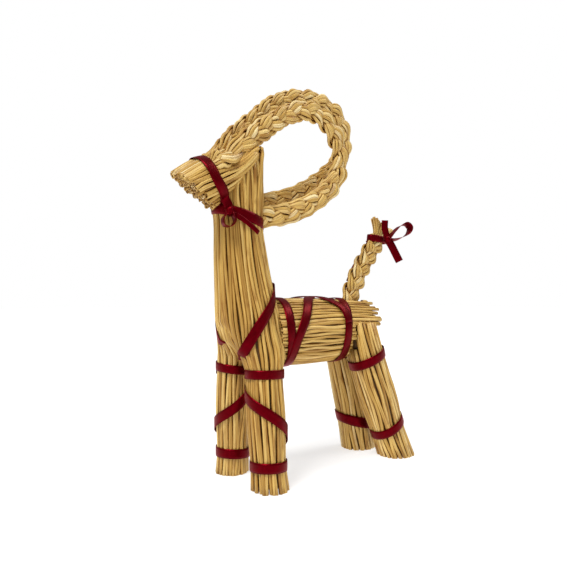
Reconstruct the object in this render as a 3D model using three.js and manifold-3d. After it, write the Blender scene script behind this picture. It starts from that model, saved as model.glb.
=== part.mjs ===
// A straw goat: bundles of straw bound with ribbon, two long plaited horns that loop back over the
// neck, and a short plaited tail. Millimetres, +Z up. The goat faces -Y and its left side is +X.
import * as THREE from 'three';
import { mergeVertices } from 'three/addons/utils/BufferGeometryUtils.js';
import Module from 'manifold-3d';

const wasm = await Module();
wasm.setup();

// Driving sizes
const STRAW_PITCH = 5;
const GROOVE_DEPTH = 1.3;
const RIBBON_WIDTH = 6;
const RIBBON_THICKNESS = 0.8;
const RIBBON_GAP = 0.6;
const TOUCHING_GAP = 0.4;
const BODY_RADIUS = 25.5;
const BODY_AXIS_Z = 106.7;
const BODY_FRONT_Y = -54;
const LOWER_STRAWS_END_Y = 17.2;
const UPPER_STRAWS_END_Y = 46.5;
const REAR_LEG_TOP_Z = 111.4;
const HORN_SPREAD = 9.3;
const PLAIT_WIDTH = 15;
const PLAIT_THICKNESS = 9;
const PLAIT_PERIOD = 45;
const NECK_BAND_Z = 188.2;
const FRONT_TOP_BAND_Z = 78.2;
const FRONT_LOW_BAND_Z = 17.5;
const REAR_TOP_BAND_Z = { left: 84, right: 86 };
const REAR_LOW_BAND_Z = 26;
const TAIL_BAND_ALONG = 0.79;
const STRAND_HALF_WIDTH = 0.29;
const STRAND_HALF_THICKNESS = 0.33;
const STEPS_PER_TURN = 12;

const STRAW_COLOUR = 0xd9b877;
const RIBBON_COLOUR = 0x7d0a1c;

// ---------------------------------------------------------------------------------------------
// Solids

// A geometry becomes a solid that can be joined and cut.
function solidOf(geometry) {
  const bare = geometry.clone();
  bare.deleteAttribute('normal');
  bare.deleteAttribute('uv');
  const merged = mergeVertices(bare, 1e-4);
  const mesh = new wasm.Mesh({
    numProp: 3,
    vertProperties: new Float32Array(merged.attributes.position.array),
    triVerts: new Uint32Array(merged.index.array),
  });
  return new wasm.Manifold(mesh);
}

function geometryOf(solid) {
  const mesh = solid.getMesh();
  const geometry = new THREE.BufferGeometry();
  geometry.setAttribute('position', new THREE.BufferAttribute(mesh.vertProperties, 3));
  geometry.setIndex(new THREE.BufferAttribute(mesh.triVerts, 1));
  geometry.computeVertexNormals();
  return geometry;
}

function joined(solids) {
  return solids.reduce((all, next) => all.add(next));
}

// Moves each vertex of a geometry to the place that `place` gives for it.
function mapped(geometry, place) {
  const position = geometry.attributes.position;
  const vertex = new THREE.Vector3();
  for (let i = 0; i < position.count; i += 1) {
    vertex.fromBufferAttribute(position, i);
    const moved = place(vertex);
    position.setXYZ(i, moved.x, moved.y, moved.z);
  }
  return geometry;
}

function boxSolid(low, high) {
  const size = new THREE.Vector3().subVectors(high, low);
  const box = new THREE.BoxGeometry(size.x, size.y, size.z);
  const middle = new THREE.Vector3().addVectors(low, high).multiplyScalar(0.5);
  return solidOf(box.translate(middle.x, middle.y, middle.z));
}

// ---------------------------------------------------------------------------------------------
// Bundles of straw

// A bundle is a row of stations. Each has a centre `at`, a half width `wide` along X, and a half
// depth `deep` along a direction that stands `tilt` degrees up from +Y. The stations go the way
// that X, then that direction, then the bundle make a right hand. The bundle is straight between
// its `steps` + 1 sections, which are spread evenly over the stations.
class Bundle {
  constructor(stations, steps) {
    this.steps = steps;
    const centres = stations.map((station) => new THREE.Vector3(...station.at));
    const sizes = stations.map(({ wide, deep, tilt = 0 }) => new THREE.Vector3(wide, deep, tilt));
    this.centres = new THREE.CatmullRomCurve3(centres, false, 'catmullrom', 0.5);
    this.sizes = new THREE.CatmullRomCurve3(sizes, false, 'catmullrom', 0.5);
  }

  // The point of a section, `along` from 0 to 1, whose place in the unit disc is (x, y), moved
  // out by `lift`.
  sectionPoint(along, x, y, lift) {
    const centre = this.centres.getPoint(along);
    const size = this.sizes.getPoint(along);
    const tilt = THREE.MathUtils.degToRad(size.z);
    const across = x * (size.x + lift);
    const up = y * (size.y + lift);
    return new THREE.Vector3(
      centre.x + across,
      centre.y + up * Math.cos(tilt),
      centre.z + up * Math.sin(tilt),
    );
  }

  point(along, x, y, lift = 0) {
    const before = Math.min(Math.floor(along * this.steps), this.steps - 1);
    const start = this.sectionPoint(before / this.steps, x, y, lift);
    const end = this.sectionPoint((before + 1) / this.steps, x, y, lift);
    return start.lerp(end, along * this.steps - before);
  }

  surface(along, angle, lift = 0) {
    return this.point(along, Math.cos(angle), Math.sin(angle), lift);
  }

  // How far along the bundle its centre reaches `value` on one axis.
  alongAt(axis, value) {
    const rising = this.point(1, 0, 0)[axis] > this.point(0, 0, 0)[axis];
    let low = 0;
    let high = 1;
    for (let i = 0; i < 30; i += 1) {
      const middle = (low + high) / 2;
      if (this.point(middle, 0, 0)[axis] > value === rising) high = middle;
      else low = middle;
    }
    return (low + high) / 2;
  }
}

// How far a bundle with level sections reaches from `from`, level with it and `angle` round it.
function reachOf(bundle, from, angle) {
  const along = bundle.alongAt('z', from.z);
  if (along > 0.999) return 0;
  const middle = bundle.point(along, 0, 0);
  const wide = bundle.point(along, 1, 0).distanceTo(middle);
  const deep = bundle.point(along, 0, 1).distanceTo(middle);
  const direction = new THREE.Vector2(Math.cos(angle) / wide, Math.sin(angle) / deep);
  const offset = new THREE.Vector2((from.x - middle.x) / wide, (from.y - middle.y) / deep);
  const a = direction.lengthSq();
  const b = direction.dot(offset);
  const inside = b * b - a * (offset.lengthSq() - 1);
  return inside > 0 ? (Math.sqrt(inside) - b) / a : 0;
}

// A round outline with one rib for each straw.
function strawOutline(strawCount, groove) {
  const outline = new THREE.Shape();
  for (let i = 0; i < strawCount; i += 1) {
    const crest = (i / strawCount) * 2 * Math.PI;
    const valley = ((i + 0.5) / strawCount) * 2 * Math.PI;
    if (i === 0) outline.moveTo(1, 0);
    else outline.lineTo(Math.cos(crest), Math.sin(crest));
    outline.lineTo((1 - groove) * Math.cos(valley), (1 - groove) * Math.sin(valley));
  }
  outline.closePath();
  return outline;
}

// The ribbed solid of a bundle. `ragged` is how unevenly its last cut ends stand.
function bundleSolid(bundle, { girth, ragged = 0 }) {
  const { steps } = bundle;
  const strawCount = Math.round((2 * Math.PI * girth) / STRAW_PITCH);
  const outline = strawOutline(strawCount, GROOVE_DEPTH / girth);
  const extruded = new THREE.ExtrudeGeometry(outline, { depth: 1, steps, bevelEnabled: false });
  return solidOf(mapped(extruded, ({ x, y, z }) => {
    const point = bundle.point(z, x, y);
    if (z > 0 || ragged === 0) return point;
    const straw = Math.round((Math.atan2(y, x) * strawCount) / (2 * Math.PI));
    point.y += ragged * Math.sin(straw * 7.3);
    return point;
  }));
}

// A smooth solid a little larger than a bundle, which cuts its neighbours clear of it.
function clearanceSolid(bundle) {
  const { steps } = bundle;
  const outline = roundOutline(28);
  const extruded = new THREE.ExtrudeGeometry(outline, { depth: 1, steps, bevelEnabled: false });
  return solidOf(mapped(extruded, ({ x, y, z }) => bundle.point(z, x, y, 1.5 * TOUCHING_GAP)));
}

// ---------------------------------------------------------------------------------------------
// Plaits

// A flat plait of three strands along a curve in an upright plane that faces X.
class Plait {
  constructor(points, { width = PLAIT_WIDTH, thickness = PLAIT_THICKNESS, period = PLAIT_PERIOD } = {}) {
    const centres = points.map((point) => new THREE.Vector3(...point));
    this.curve = new THREE.CatmullRomCurve3(centres, false, 'centripetal');
    this.width = width;
    this.thickness = thickness;
    this.turns = this.curve.getLength() / period;
  }

  // The point at `along`, `across` the width of the plait and `out` towards +X.
  point(along, across, out) {
    const clamped = THREE.MathUtils.clamp(along, 0, 1);
    const tangent = this.curve.getTangentAt(clamped);
    const side = new THREE.Vector3(1, 0, 0);
    const widthways = new THREE.Vector3().crossVectors(side, tangent).normalize();
    return this.curve.getPointAt(clamped)
      .addScaledVector(tangent, (along - clamped) * this.curve.getLength())
      .addScaledVector(widthways, across)
      .addScaledVector(side, out);
  }

  // Where each strand's middle is in the plait's width and thickness.
  strands(along) {
    return [0, 1, 2].map((strand) => {
      const phase = 2 * Math.PI * (along * this.turns + strand / 3);
      return {
        across: 0.23 * this.width * Math.sin(phase),
        out: 0.2 * this.thickness * Math.sin(2 * phase),
      };
    });
  }

  // One of the eight corners of the plait's outline: its two edges (0 and 4) lie on the outermost
  // strand, and the rest lie on the strand that is uppermost there, on one face or the other.
  corner(along, index) {
    const halfWidth = STRAND_HALF_WIDTH * this.width;
    const halfThickness = STRAND_HALF_THICKNESS * this.thickness;
    const strands = this.strands(along);
    const side = [1, 0.5, 0, -0.5, -1, -0.5, 0, 0.5][index];
    const reach = (strand) => strand.across * Math.sign(side);
    const outermost = strands.reduce((best, next) => (reach(next) > reach(best) ? next : best));
    const edge = Math.abs(side) * (reach(outermost) + halfWidth);
    const across = side === 0 ? 0 : Math.sign(side) * edge;
    if (Math.abs(side) === 1) return this.point(along, across, outermost.out);
    const face = index < 4 ? 1 : -1;
    const heights = strands.map((strand) => {
      const off = (across - strand.across) / halfWidth;
      return Math.abs(off) < 1 ? face * strand.out + halfThickness * Math.sqrt(1 - off * off) : 0;
    });
    return this.point(along, across, face * Math.max(...heights));
  }
}

function roundOutline(sides) {
  const outline = new THREE.Shape();
  for (let i = 0; i < sides; i += 1) {
    const angle = (i / sides) * 2 * Math.PI;
    if (i === 0) outline.moveTo(1, 0);
    else outline.lineTo(Math.cos(angle), Math.sin(angle));
  }
  outline.closePath();
  return outline;
}

// The three strands' lobes, as one skin over the whole plait.
function plaitSolid(plait) {
  const steps = Math.ceil(plait.turns * STEPS_PER_TURN);
  const shape = roundOutline(8);
  const extruded = new THREE.ExtrudeGeometry(shape, { depth: 1, steps, bevelEnabled: false });
  return solidOf(mapped(extruded, ({ x, y, z }) => {
    const index = Math.round((Math.atan2(y, x) * 4) / Math.PI);
    return plait.corner(z, (index + 8) % 8);
  }));
}

// The plait's outer envelope, which cuts a channel for it in what it lies on.
function channelSolid(plait, from, to) {
  const shape = roundOutline(10);
  const extruded = new THREE.ExtrudeGeometry(shape, { depth: 1, steps: 8, bevelEnabled: false });
  const halfWidth = plait.width * 0.55 + TOUCHING_GAP;
  const halfThickness = plait.thickness * 0.55 + TOUCHING_GAP;
  return solidOf(mapped(extruded, ({ x, y, z }) => (
    plait.point(from + z * (to - from), x * halfWidth, y * halfThickness)
  )));
}

// ---------------------------------------------------------------------------------------------
// Ribbons

// The cross-section of a ribbon at `u` along a track: where it lies, its outward direction and the
// direction of its width. A track is a function of u and of how far the point is lifted.
function ribbonFrame(track, u) {
  const small = 1e-3;
  const middle = track(u, 0);
  const outward = track(u, 1).sub(middle).normalize();
  const travel = track(u + small, 0).sub(track(u - small, 0)).normalize();
  const across = new THREE.Vector3().crossVectors(outward, travel).normalize();
  return { middle, outward, across };
}

// The corner of the cross-section that is `across` (-0.5 to 0.5) its width and `lift` (0 or 1)
// its thickness.
function ribbonPoint(track, u, across, lift, width = RIBBON_WIDTH) {
  const frame = ribbonFrame(track, u);
  return frame.middle
    .addScaledVector(frame.across, across * width)
    .addScaledVector(frame.outward, RIBBON_GAP + lift * RIBBON_THICKNESS);
}

// A ribbon with two ends.
function openRibbon(track, steps, width) {
  const strip = new THREE.BoxGeometry(1, 1, 1, steps, 1, 1);
  return solidOf(mapped(strip, ({ x, y, z }) => ribbonPoint(track, x + 0.5, y, z + 0.5, width)));
}

// A ribbon that closes on itself.
function closedRibbon(track, steps, width) {
  const section = [[1, -0.5], [2, -0.5], [2, 0.5], [1, 0.5], [1, -0.5]];
  const profile = section.map(([radius, height]) => new THREE.Vector2(radius, height));
  const ring = new THREE.LatheGeometry(profile, steps);
  return solidOf(mapped(ring, ({ x, y, z }) => {
    const turn = Math.atan2(x, z) / (2 * Math.PI);
    return ribbonPoint(track, turn, y, Math.hypot(x, z) - 1, width);
  }));
}

// A band straight round a bundle.
function bandRound(bundle, along, steps = 16) {
  return closedRibbon((u, lift) => bundle.surface(along, u * 2 * Math.PI, lift), steps);
}

// A smooth path that winds round a bundle through [degrees round it, place on the bundle's axis].
function windingTrack(bundle, axis, turns, extraLift = 0) {
  const knots = turns.map(([degrees, place]) => new THREE.Vector3(degrees, place, 0));
  const route = new THREE.CatmullRomCurve3(knots, false, 'centripetal');
  return (u, lift) => {
    const knot = route.getPoint(THREE.MathUtils.clamp(u, 0, 1));
    const along = bundle.alongAt(axis, knot.y);
    return bundle.surface(along, THREE.MathUtils.degToRad(knot.x), lift + extraLift);
  };
}

// A lump of ribbon where it is tied.
function knotSolid(centre, radius) {
  const ball = new THREE.SphereGeometry(radius, 8, 5);
  return solidOf(ball.translate(...centre));
}

// A free end or loop of ribbon along a curve, with the direction of its width.
function looseRibbon(points, across, steps, { closed = false, width } = {}) {
  const curve = new THREE.CatmullRomCurve3(points.map((point) => new THREE.Vector3(...point)), closed);
  const side = new THREE.Vector3(...across).normalize();
  const track = (u, lift) => {
    const place = closed ? (u + 1) % 1 : THREE.MathUtils.clamp(u, 0, 1);
    const tangent = curve.getTangent(place);
    const outward = new THREE.Vector3().crossVectors(tangent, side).normalize();
    return curve.getPoint(place)
      .addScaledVector(tangent, closed ? 0 : (u - place) * curve.getLength())
      .addScaledVector(outward, lift - RIBBON_GAP);
  };
  return closed ? closedRibbon(track, steps, width) : openRibbon(track, steps, width);
}

// ---------------------------------------------------------------------------------------------
// The bundles that the goat is made of

const neck = new Bundle([
  { at: [0, -66.5, 86], wide: 18, deep: 9 },
  { at: [0, -66.5, 99], wide: 24, deep: 19 },
  { at: [0, -67.1, 115], wide: 24.8, deep: 23.2 },
  { at: [0, -70.3, 138], wide: 21.6, deep: 21.3 },
  { at: [0, -73.3, 162], wide: 19.2, deep: 19.2 },
  { at: [0, -75.7, 190], wide: 17.7, deep: 17.6 },
  { at: [0, -76.3, 222], wide: 17, deep: 24, tilt: 45 },
], 6);

// The bundle's top is folded forward and down, and its cut end is the muzzle.
const head = new Bundle([
  { at: [0, -63.5, 239], wide: 10, deep: 4, tilt: 130 },
  { at: [0, -72, 230.5], wide: 17.4, deep: 7.5, tilt: 130 },
  { at: [0, -86, 218], wide: 18.4, deep: 11.5, tilt: 126 },
  { at: [0, -101.3, 211], wide: 18, deep: 18.2, tilt: 109 },
  { at: [0, -117, 201.6], wide: 17.4, deep: 17.4, tilt: 130 },
], 4);

function frontLegBundle(side, stations) {
  return new Bundle(stations.map(([height, x, y, wide, deep]) => (
    { at: [side * x, y, height], wide, deep }
  )), 5);
}

const frontLegs = {
  left: frontLegBundle(1, [
    [0, 23.8, -64, 13.6, 13.6],
    [18, 23.4, -65.5, 12.4, 12.4],
    [50, 21.6, -66.1, 13.7, 13.7],
    [80, 18.3, -65.3, 12.8, 13.5],
    [98, 15.2, -63.5, 13.4, 19.4],
    [112, 13, -65.8, 12, 18.8],
  ]),
  right: frontLegBundle(-1, [
    [0, 25.9, -65, 12.9, 12.9],
    [18, 23.9, -65.5, 12.2, 12.2],
    [50, 21.2, -66.3, 13.8, 13.8],
    [80, 17.3, -67.7, 13.2, 13.7],
    [98, 14, -67.3, 13, 16.5],
    [112, 12.5, -67.5, 11.5, 17.5],
  ]),
};

const body = new Bundle([
  { at: [0, UPPER_STRAWS_END_Y, BODY_AXIS_Z - 1], wide: 26, deep: 24.6, tilt: 77 },
  { at: [0, LOWER_STRAWS_END_Y, BODY_AXIS_Z], wide: 25.3, deep: 25.2, tilt: 90 },
  { at: [0, -20, BODY_AXIS_Z], wide: 25.8, deep: 25.8, tilt: 90 },
  { at: [0, BODY_FRONT_Y, BODY_AXIS_Z], wide: BODY_RADIUS, deep: 25, tilt: 90 },
], 3);

// A hind leg leans back by `lean` degrees, flat at the floor and at its top.
function rearLegBundle(side, stations, lean) {
  return new Bundle(stations.map(([height, x, y, wide, deep, slope]) => (
    { at: [side * x, y, height], wide, deep, tilt: slope * lean }
  )), 4);
}

const rearLegs = {
  left: rearLegBundle(1, [
    [0, 18, 70.6, 15.4, 16.2, 0],
    [24, 17.1, 60.3, 14.1, 14.1, 1],
    [50, 17.5, 49.3, 15.9, 15.9, 1],
    [76, 16.9, 39.2, 15.1, 15.1, 1],
    [REAR_LEG_TOP_Z, 14.5, 29.3, 14, 15, 0],
  ], 21),
  right: rearLegBundle(-1, [
    [0, 18, 61.1, 14.9, 15.2, 0],
    [24, 17.1, 55, 14.2, 14.2, 1],
    [50, 16.4, 48, 14.2, 14.2, 1],
    [76, 15.7, 41, 13.7, 13.7, 1],
    [REAR_LEG_TOP_Z, 13.9, 31.5, 13.3, 14, 0],
  ], 15),
};

// ---------------------------------------------------------------------------------------------
// The plaits

const inPlane = (x, route) => route.map(([y, z]) => [x, y, z]);

const horns = {
  left: new Plait(inPlane(HORN_SPREAD, [
    [-98, 227], [-86, 234], [-71, 245], [-56, 257], [-38, 268.5], [-21, 274.5], [-8, 274],
    [2, 268], [10, 258], [13.6, 246], [12, 233.5], [5, 221.5], [-8, 210], [-24, 200.5],
    [-40, 194.5], [-60, 190],
  ])),
  right: new Plait(inPlane(-HORN_SPREAD, [
    [-94, 230], [-83, 239.5], [-71, 251.5], [-57, 264.5], [-41, 278], [-24, 287.5], [-6, 292],
    [13, 291.5], [28, 284], [35.5, 268], [31, 250], [19, 236], [7, 227], [-6, 219], [-21, 212],
    [-37, 206.5], [-60, 201.5],
  ])),
};

const tail = new Plait(
  inPlane(0, [[30.5, 125], [35.5, 138], [46, 157], [59.5, 175], [68.5, 187], [75, 200]]),
  { width: 16.5, thickness: 9, period: 39 },
);

// ---------------------------------------------------------------------------------------------
// Named pieces

const goat = new THREE.Group();

function addPiece(name, solid, colour, roughness) {
  const material = new THREE.MeshStandardMaterial({ color: colour, roughness, metalness: 0 });
  const mesh = new THREE.Mesh(geometryOf(solid), material);
  mesh.name = name;
  goat.add(mesh);
}

const addStraw = (name, solid) => addPiece(name, solid, STRAW_COLOUR, 0.7);
const addRibbon = (name, solid) => addPiece(name, solid, RIBBON_COLOUR, 0.4);

// The head ribbon is a ring round the head and a band round the neck, tied together at the throat.
const ringTrack = (u, lift) => head.surface(0.75, u * 2 * Math.PI, lift);
const neckBandTrack = (u, lift) => {
  const angle = u * 2 * Math.PI;
  const along = neck.alongAt('z', NECK_BAND_Z + 0.6 * Math.cos(angle) - 0.4 * Math.sin(angle));
  return neck.surface(along, angle, lift + 0.15);
};

// The front bundle is folded at the head and parts into the two front legs.
const neckRoom = clearanceSolid(neck);
const throatNotch = boxSolid(new THREE.Vector3(-15, -110, 191), new THREE.Vector3(15, -90.6, 199));
const MUZZLE_CUT = { at: [0, -110.3, 204.6], pitch: 55, yaw: 17 };
const muzzleCut = solidOf(new THREE.BoxGeometry(80, 80, 40)
  .translate(0, 0, -20)
  .rotateY(THREE.MathUtils.degToRad(MUZZLE_CUT.yaw))
  .rotateX(THREE.MathUtils.degToRad(MUZZLE_CUT.pitch - 90))
  .translate(...MUZZLE_CUT.at));
const frontBundle = joined([
  bundleSolid(neck, { girth: 20 }).subtract(throatNotch),
  bundleSolid(head, { girth: 18.5 }).subtract(muzzleCut),
  bundleSolid(frontLegs.left, { girth: 12.9 }),
  bundleSolid(frontLegs.right, { girth: 12.9 }),
])
  .subtract(channelSolid(horns.left, 0, 0.3))
  .subtract(channelSolid(horns.right, 0, 0.3));
addStraw('front_bundle', frontBundle);

// The body's upper straws run on over the hind legs, and the tail stands in a pocket among them.
const tailPocket = boxSolid(
  new THREE.Vector3(-6.5, 20, 118),
  new THREE.Vector3(6.5, 41, BODY_AXIS_Z + 2 * BODY_RADIUS),
);
const underUpperStraws = boxSolid(
  new THREE.Vector3(-60, LOWER_STRAWS_END_Y, 0),
  new THREE.Vector3(60, 2 * UPPER_STRAWS_END_Y, REAR_LEG_TOP_Z + TOUCHING_GAP),
);
const bodyBundle = bundleSolid(body, { girth: BODY_RADIUS, ragged: 1.6 })
  .subtract(underUpperStraws)
  .subtract(tailPocket)
  .subtract(neckRoom)
  .subtract(clearanceSolid(frontLegs.left))
  .subtract(clearanceSolid(frontLegs.right));
addStraw('body_bundle', bodyBundle);

const bodyRoom = clearanceSolid(body)
  .subtract(boxSolid(
    new THREE.Vector3(-60, LOWER_STRAWS_END_Y + TOUCHING_GAP, 0),
    new THREE.Vector3(60, 2 * UPPER_STRAWS_END_Y, BODY_AXIS_Z + 2 * BODY_RADIUS),
  ));
for (const side of ['left', 'right']) {
  const leg = bundleSolid(rearLegs[side], { girth: 14.3 });
  addStraw(`rear_${side}_leg`, leg.subtract(bodyRoom));
}

// Each horn's lower end butts against the back of the neck, just above the band round it.
const neckBandRoom = boxSolid(
  new THREE.Vector3(-40, -110, NECK_BAND_Z - 2 * RIBBON_WIDTH),
  new THREE.Vector3(40, -56.6, NECK_BAND_Z + 0.7 * RIBBON_WIDTH),
);
for (const side of ['left', 'right']) {
  addStraw(`${side}_horn_plait`, plaitSolid(horns[side]).subtract(neckRoom).subtract(neckBandRoom));
}
addStraw('tail_plait', plaitSolid(tail));

// ---------------------------------------------------------------------------------------------
// The ribbons

// Head: a ring, a band round the neck, and the knot between them with a small loop and one end.
const knotPlace = neck.surface(neck.alongAt('z', 191), THREE.MathUtils.degToRad(-46), 4.5);
const outwards = new THREE.Vector3(Math.cos(-0.75), Math.sin(-0.75), 0);
const sideways = new THREE.Vector3(-outwards.y, outwards.x, 0);
const byTheKnot = ([across, up]) => (
  knotPlace.clone().addScaledVector(sideways, across).add(new THREE.Vector3(0, 0, up)).toArray()
);
const HEAD_LOOP = [[-1, -1], [-4.5, -4.5], [-3, -9], [1, -9.5], [3.5, -6], [1.5, -1.5]].map(byTheKnot);
addRibbon('head_ribbon', joined([
  closedRibbon(ringTrack, 20),
  closedRibbon(neckBandTrack, 16),
  knotSolid(knotPlace.toArray(), 4.4),
  looseRibbon([[17.6, -100, 206], [17.2, -96.5, 199], knotPlace.toArray()], [-0.1, 1, 0.3], 4),
  looseRibbon(HEAD_LOOP, outwards.toArray(), 9, { closed: true, width: 4.5 }),
  openRibbon(windingTrack(neck, 'z', [[-40, 189], [-12, 183], [22, 177]], 1.2), 5, 3.5),
]));

// Chest: a strap over each shoulder, from the fork of the legs up to the back of the neck.
function shoulderStrap(side) {
  const turns = [[-66, 88.6], [-44, 93], [-14, 114], [15, 127], [50, 137.5], [95, 141]];
  const route = new THREE.CatmullRomCurve3(turns.map(([degrees, z]) => new THREE.Vector3(degrees, z, 0)));
  const leg = frontLegs[side > 0 ? 'left' : 'right'];
  return openRibbon((u, lift) => {
    const turn = route.getPoint(THREE.MathUtils.clamp(u, 0, 1));
    const angle = THREE.MathUtils.degToRad(side > 0 ? turn.x : 180 - turn.x);
    const middle = neck.point(neck.alongAt('z', turn.y), 0, 0);
    const reach = Math.max(reachOf(neck, middle, angle), reachOf(leg, middle, angle)) + lift + 0.4
      + 1.6 * THREE.MathUtils.smoothstep(-turn.x, 20, 60);
    return middle.add(new THREE.Vector3(reach * Math.cos(angle), reach * Math.sin(angle), 0));
  }, 18);
}
addRibbon('chest_ribbon', joined([shoulderStrap(1), shoulderStrap(-1)]));

// Front legs: a band at the top, a strap winding down round the leg, and a band near the foot.
const frontWindings = {
  left: [[-215, 79.5], [-153, 70], [-34, 56], [56, 36], [150, 21], [180, FRONT_LOW_BAND_Z]],
  right: [[220, 79], [150, 70], [25, 55], [-34, 46.5], [-124, 37], [-215, 23], [-250, FRONT_LOW_BAND_Z]],
};
for (const side of ['left', 'right']) {
  const leg = frontLegs[side];
  addRibbon(`front_${side}_leg_ribbon`, joined([
    bandRound(leg, leg.alongAt('z', FRONT_TOP_BAND_Z)),
    openRibbon(windingTrack(leg, 'z', frontWindings[side], 0.7), 20),
    bandRound(leg, leg.alongAt('z', FRONT_LOW_BAND_Z)),
  ]));
}

// Hind legs: two bands each.
for (const side of ['left', 'right']) {
  const leg = rearLegs[side];
  addRibbon(`rear_${side}_upper_ribbon`, bandRound(leg, leg.alongAt('z', REAR_TOP_BAND_Z[side])));
  addRibbon(`rear_${side}_lower_ribbon`, bandRound(leg, leg.alongAt('z', REAR_LOW_BAND_Z)));
}

// Body: a band at each end, and two straps between them that cross over the back.
function bodyBand({ middle, lean, bow }) {
  return closedRibbon((u, lift) => {
    const angle = u * 2 * Math.PI;
    const y = middle + lean * Math.sin(angle) + bow * Math.cos(2 * angle);
    return body.surface(body.alongAt('y', y), angle, lift);
  }, 18);
}
function crossingStrap(side) {
  const turns = [
    [-85, -38.7], [-55, -41.2], [-30, -42.2], [-7, -40.7], [33.5, -30], [67, -19.3], [90, -9], [113, 0.5],
    [136, 8], [165, 9.5],
  ];
  const mirrored = turns.map(([degrees, y]) => [side > 0 ? degrees : 180 - degrees, y]);
  return openRibbon(windingTrack(body, 'y', mirrored, side > 0 ? 0.2 : 0.7), 13);
}
addRibbon('body_ribbon', joined([
  bodyBand({ middle: -43.7, lean: -2, bow: -3.2 }),
  bodyBand({ middle: 11.5, lean: 2.3, bow: -3.1 }),
  crossingStrap(1),
  crossingStrap(-1),
]));

// Tail: a band, tied in a bow with one loop and loose ends.
const tailBandTrack = (u, lift) => {
  const angle = u * 2 * Math.PI;
  const across = (0.57 * tail.width + lift) * Math.cos(angle);
  return tail.point(TAIL_BAND_ALONG, across, (0.66 * tail.thickness + lift) * Math.sin(angle));
};
const bowPlace = new THREE.Vector3(9.6, 69.5, 182.5);
const bowSideways = new THREE.Vector3(0.6, 0.8, 0);
const bowFacing = [0.8, -0.6, 0];
const byTheBow = ([across, up]) => (
  bowPlace.clone().addScaledVector(bowSideways, across).add(new THREE.Vector3(0, 0, up)).toArray()
);
const BOW_LOOP = [[0, 0], [7, 7.5], [14, 12.5], [18.5, 11], [18.5, 6.5], [13, 2.5], [6, 0]];
const BOW_ENDS = [
  { route: [[0, 0], [-1, 8], [-1, 16]], across: [0.6, 0.8, 0] },
  { route: [[0, 0], [5, -8], [9.5, -18]], across: [0.55, 0.7, 0.45] },
];
const HIDDEN_END = [[-6.9, 63.5, 184.5], [-7.5, 55.5, 171], [-7.5, 45.5, 158], [-7, 38, 147]];
addRibbon('tail_ribbon', joined([
  closedRibbon(tailBandTrack, 14),
  knotSolid(bowPlace.toArray(), 4.2),
  looseRibbon(BOW_LOOP.map(byTheBow), bowFacing, 12, { closed: true }),
  ...BOW_ENDS.map(({ route, across }) => looseRibbon(route.map(byTheBow), across, 4)),
  looseRibbon(HIDDEN_END, [0.75, -0.5, 0.4], 5, { width: 4.5 }),
]));

// The origin is on the floor below the middle of the whole goat.
const bounds = new THREE.Box3().setFromObject(goat);
const centre = bounds.getCenter(new THREE.Vector3());
goat.position.set(-centre.x, -centre.y, -bounds.min.z);

export default goat;
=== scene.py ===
"""A straw goat: bundles of straw bound with satin ribbon, plaited horns and a plaited tail.

The goat is drawn in millimetres, with its feet on the floor, its head towards -Y and its left
side towards +X, and each finished piece is then put into the frame of the solid model.
"""
import math
import random

import bmesh
import bpy
from mathutils import Matrix, Vector


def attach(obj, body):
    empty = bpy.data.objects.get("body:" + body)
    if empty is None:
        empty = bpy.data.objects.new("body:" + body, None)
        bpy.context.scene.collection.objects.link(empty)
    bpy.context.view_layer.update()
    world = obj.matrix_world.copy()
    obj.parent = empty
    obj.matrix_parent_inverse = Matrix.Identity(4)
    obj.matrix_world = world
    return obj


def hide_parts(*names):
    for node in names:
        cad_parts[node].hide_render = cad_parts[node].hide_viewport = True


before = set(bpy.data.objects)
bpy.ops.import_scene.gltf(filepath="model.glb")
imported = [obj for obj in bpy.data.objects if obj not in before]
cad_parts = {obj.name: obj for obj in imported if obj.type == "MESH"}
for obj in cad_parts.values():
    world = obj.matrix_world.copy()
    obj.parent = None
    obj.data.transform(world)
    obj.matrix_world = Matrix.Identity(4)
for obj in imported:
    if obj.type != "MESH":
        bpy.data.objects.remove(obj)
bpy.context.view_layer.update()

# --- Studio -------------------------------------------------------------------------------------
# A white sheet that the goat stands on, in a white room with wide soft lights above it, and a
# camera at the height of its chest, in front of its left side.
SHEET_SIZE = 12.0
CAMERA_PLACE = Vector((0.3299, -0.2592, 0.133))
CAMERA_LOOK = Vector((-0.803, 0.596, 0.0))
CAMERA_LENS = 34.29
CAMERA_SHIFT = 0.0238
SUNS = {
    "key": ((0.5, -1.2, 2.0), 2.4, 22.0),
    "back": ((0.3, 1.2, 1.7), 0.8, 24.0),
    "fill": ((-1.4, -0.4, 1.2), 0.3, 50.0),
}


def aim(place, towards):
    """The matrix of a camera or a light at `place` that looks along `towards`."""
    return Matrix.Translation(place) @ towards.to_track_quat("-Z", "Y").to_matrix().to_4x4()


def soft_sun(name, place, power, degrees):
    """A far light that shines from `place` on the goat, as wide as `degrees` in the sky."""
    light = bpy.data.lights.new(name, "SUN")
    light.energy = power
    light.angle = math.radians(degrees)
    lamp = bpy.data.objects.new(name, light)
    lamp.matrix_world = aim(Vector(place), -Vector(place))
    bpy.context.scene.collection.objects.link(lamp)


camera = bpy.data.objects.new("camera", bpy.data.cameras.new("camera"))
camera.data.lens = CAMERA_LENS
camera.data.shift_y = CAMERA_SHIFT
camera.data.clip_start = 0.01
camera.matrix_world = aim(CAMERA_PLACE, CAMERA_LOOK)
bpy.context.scene.collection.objects.link(camera)
bpy.context.scene.camera = camera

for name, (place, power, degrees) in SUNS.items():
    soft_sun(name, place, power, degrees)

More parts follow.
